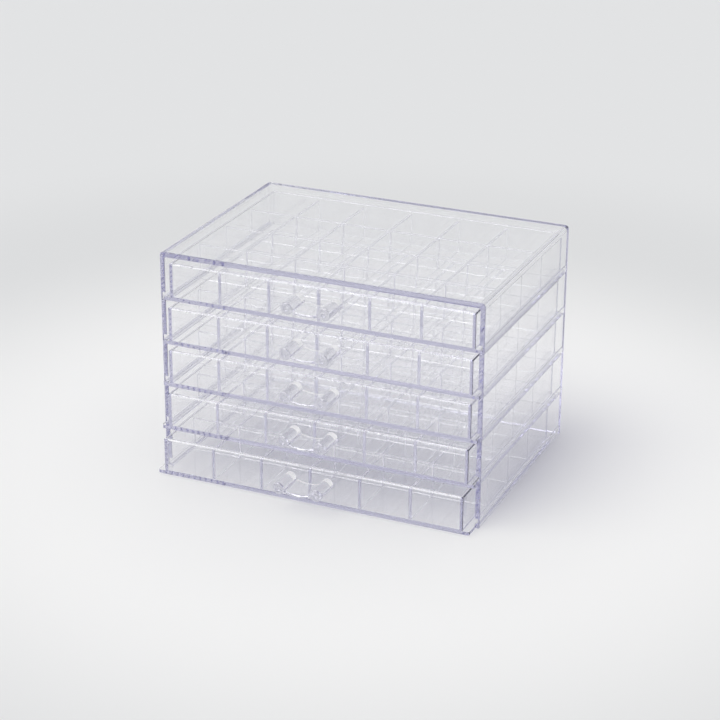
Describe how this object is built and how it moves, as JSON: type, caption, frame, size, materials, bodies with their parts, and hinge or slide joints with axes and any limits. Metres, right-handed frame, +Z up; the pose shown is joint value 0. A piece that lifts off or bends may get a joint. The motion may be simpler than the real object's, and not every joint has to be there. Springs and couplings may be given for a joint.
{
  "type": "jewellery organizer",
  "caption": "Clear moulded desktop organizer: an open-fronted case with drawers on grooved side runners, each split into small cells by cross-lapped dividers.",
  "frame": {"origin": "on the table, at the centre of the box round the whole object with its drawers standing out as at rest", "axes": "+X to the right as seen from the front, +Y from the front to the back, +Z up"},
  "size_m": [0.22, 0.1886, 0.15],
  "materials": {
    "case_plastic": "gloss",
    "tray_plastic": "gloss",
    "pull_plastic": "gloss",
    "divider_plastic": "gloss"
  },
  "bodies": {
    "case": {"case_shell": "case_plastic"},
    "drawer_1": {"drawer_tray_1": "tray_plastic", "drawer_pull_1": "pull_plastic", "column_divider_1_1": "divider_plastic", "column_divider_1_2": "divider_plastic", "column_divider_1_3": "divider_plastic", "column_divider_1_4": "divider_plastic", "column_divider_1_5": "divider_plastic", "row_divider_1_1": "divider_plastic", "row_divider_1_2": "divider_plastic", "row_divider_1_3": "divider_plastic"},
    "drawer_2": {"drawer_tray_2": "tray_plastic", "drawer_pull_2": "pull_plastic", "column_divider_2_1": "divider_plastic", "column_divider_2_2": "divider_plastic", "column_divider_2_3": "divider_plastic", "column_divider_2_4": "divider_plastic", "column_divider_2_5": "divider_plastic", "row_divider_2_1": "divider_plastic", "row_divider_2_2": "divider_plastic", "row_divider_2_3": "divider_plastic"},
    "drawer_3": {"drawer_tray_3": "tray_plastic", "drawer_pull_3": "pull_plastic", "column_divider_3_1": "divider_plastic", "column_divider_3_2": "divider_plastic", "column_divider_3_3": "divider_plastic", "column_divider_3_4": "divider_plastic", "column_divider_3_5": "divider_plastic", "row_divider_3_1": "divider_plastic", "row_divider_3_2": "divider_plastic", "row_divider_3_3": "divider_plastic"},
    "drawer_4": {"drawer_tray_4": "tray_plastic", "drawer_pull_4": "pull_plastic", "column_divider_4_1": "divider_plastic", "column_divider_4_2": "divider_plastic", "column_divider_4_3": "divider_plastic", "column_divider_4_4": "divider_plastic", "column_divider_4_5": "divider_plastic", "row_divider_4_1": "divider_plastic", "row_divider_4_2": "divider_plastic", "row_divider_4_3": "divider_plastic"},
    "drawer_5": {"drawer_tray_5": "tray_plastic", "drawer_pull_5": "pull_plastic", "column_divider_5_1": "divider_plastic", "column_divider_5_2": "divider_plastic", "column_divider_5_3": "divider_plastic", "column_divider_5_4": "divider_plastic", "column_divider_5_5": "divider_plastic", "row_divider_5_1": "divider_plastic", "row_divider_5_2": "divider_plastic", "row_divider_5_3": "divider_plastic"}
  },
  "joints": [
    {"name": "drawer_1_slide", "type": "slide", "parent": "case", "child": "drawer_1", "axis": [0, -1, 0], "range_m": [0, 0.105]},
    {"name": "drawer_2_slide", "type": "slide", "parent": "case", "child": "drawer_2", "axis": [0, -1, 0], "range_m": [-0.003, 0.102]},
    {"name": "drawer_3_slide", "type": "slide", "parent": "case", "child": "drawer_3", "axis": [0, -1, 0], "range_m": [-0.004, 0.101]},
    {"name": "drawer_4_slide", "type": "slide", "parent": "case", "child": "drawer_4", "axis": [0, -1, 0], "range_m": [-0.007, 0.098]},
    {"name": "drawer_5_slide", "type": "slide", "parent": "case", "child": "drawer_5", "axis": [0, -1, 0], "range_m": [-0.014, 0.091]}
  ]
}
